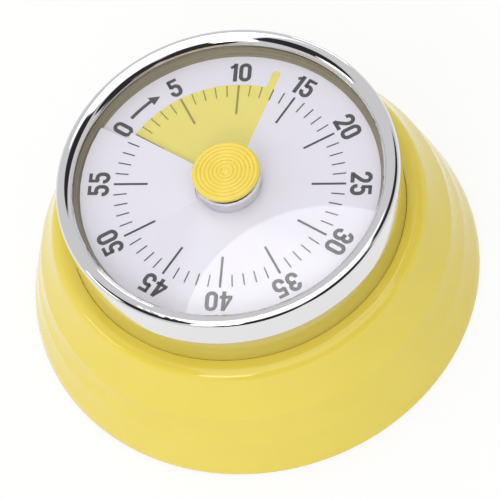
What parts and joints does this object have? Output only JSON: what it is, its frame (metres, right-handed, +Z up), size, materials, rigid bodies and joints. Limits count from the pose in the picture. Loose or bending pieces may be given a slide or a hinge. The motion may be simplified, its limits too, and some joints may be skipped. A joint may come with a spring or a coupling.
{
  "type": "kitchen timer",
  "caption": "Round wind-up kitchen timer with a flared ridged base, a bright bezel, a minute dial under a clear lens, a film that shows the time left, a turning knob and a bell movement inside.",
  "frame": {"origin": "centre of the foot ring's lower face, on the surface that the timer stands on", "axes": "+Z up along the arbor, +Y towards minute 0, minutes run clockwise seen from above"},
  "size_m": [0.08, 0.08, 0.0354],
  "materials": {
    "yellow_shell": "glossy moulded ABS",
    "yellow_knob": "satin moulded ABS with rings",
    "chrome": "polished plate",
    "lens_clear": "clear moulded acrylic",
    "dial_white": "satin printed sheet",
    "rehaut_olive": "metallised plastic, dulled olive",
    "film_yellow": "translucent film",
    "brass": "rolled sheet",
    "steel": "turned and drawn",
    "spring_steel": "blued strip",
    "acetal": "moulded wheels",
    "bell_steel": "nickel plated",
    "cover_yellow": "fine spark texture",
    "rubber_grey": "matte",
    "magnet_grey": "sintered ferrite"
  },
  "bodies": {
    "case": {"base_shell": "yellow_shell", "neck_housing": "yellow_shell", "bezel": "chrome", "rehaut_ring": "rehaut_olive", "lens": "lens_clear", "dial": "dial_white", "bottom_cover": "cover_yellow", "cover_screws": "steel", "magnet": "magnet_grey", "foot_ring": "rubber_grey", "front_plate": "brass", "rear_plate": "brass", "plate_pillars": "steel", "pillar_screws": "steel", "movement_screws": "steel", "mainspring": "spring_steel", "spring_post": "steel", "bell": "bell_steel", "bell_post": "steel", "bell_screw": "steel"},
    "knob_set": {"knob": "yellow_knob", "knob_collar": "chrome", "main_arbor": "steel", "film_hub": "acetal", "time_film": "film_yellow", "main_wheel": "brass", "ratchet_wheel": "steel", "click_pawl": "steel", "strike_cam": "acetal"},
    "second_set": {"second_arbor": "steel", "second_wheel": "acetal"},
    "third_set": {"third_arbor": "steel", "third_wheel": "acetal"},
    "escape_set": {"escape_arbor": "steel", "escape_wheel": "acetal"},
    "balance_set": {"pallet_lever": "acetal", "verge_staff": "steel", "balance_bar": "brass"},
    "hammer_set": {"hammer_arbor": "steel", "trip_lever": "steel", "hammer_arm": "steel", "hammer_head": "brass"}
  },
  "joints": [
    {"name": "knob_turn", "type": "hinge", "parent": "case", "child": "knob_set", "pos_m": [0, 0, 0.0304], "axis": [0, 0, -1], "range_deg": [-78, 276], "deforming": ["time_film", "mainspring"]},
    {"name": "second_turn", "type": "hinge", "parent": "case", "child": "second_set", "pos_m": [-0.01316, -0.00479, 0.018], "axis": [0, 0, -1], "continuous": true},
    {"name": "third_turn", "type": "hinge", "parent": "case", "child": "third_set", "pos_m": [-0.00862, -0.01348, 0.018], "axis": [0, 0, -1], "continuous": true},
    {"name": "escape_turn", "type": "hinge", "parent": "case", "child": "escape_set", "pos_m": [-0.00061, -0.01599, 0.018], "axis": [0, 0, -1], "continuous": true},
    {"name": "balance_swing", "type": "hinge", "parent": "case", "child": "balance_set", "pos_m": [0.00596, -0.01538, 0.018], "axis": [0, 0, 1], "range_deg": [-18, 18]},
    {"name": "hammer_swing", "type": "hinge", "parent": "case", "child": "hammer_set", "pos_m": [0.0072, 0.01247, 0.018], "axis": [0, 0, 1], "range_deg": [0, 8], "stiffness_Nm_per_rad": 0.0005, "springref_deg": -5.73}
  ],
  "couplings": [
    {"joint": "second_turn", "follows": "knob_turn", "ratio": -6},
    {"joint": "third_turn", "follows": "knob_turn", "ratio": 36},
    {"joint": "escape_turn", "follows": "knob_turn", "ratio": -216}
  ]
}
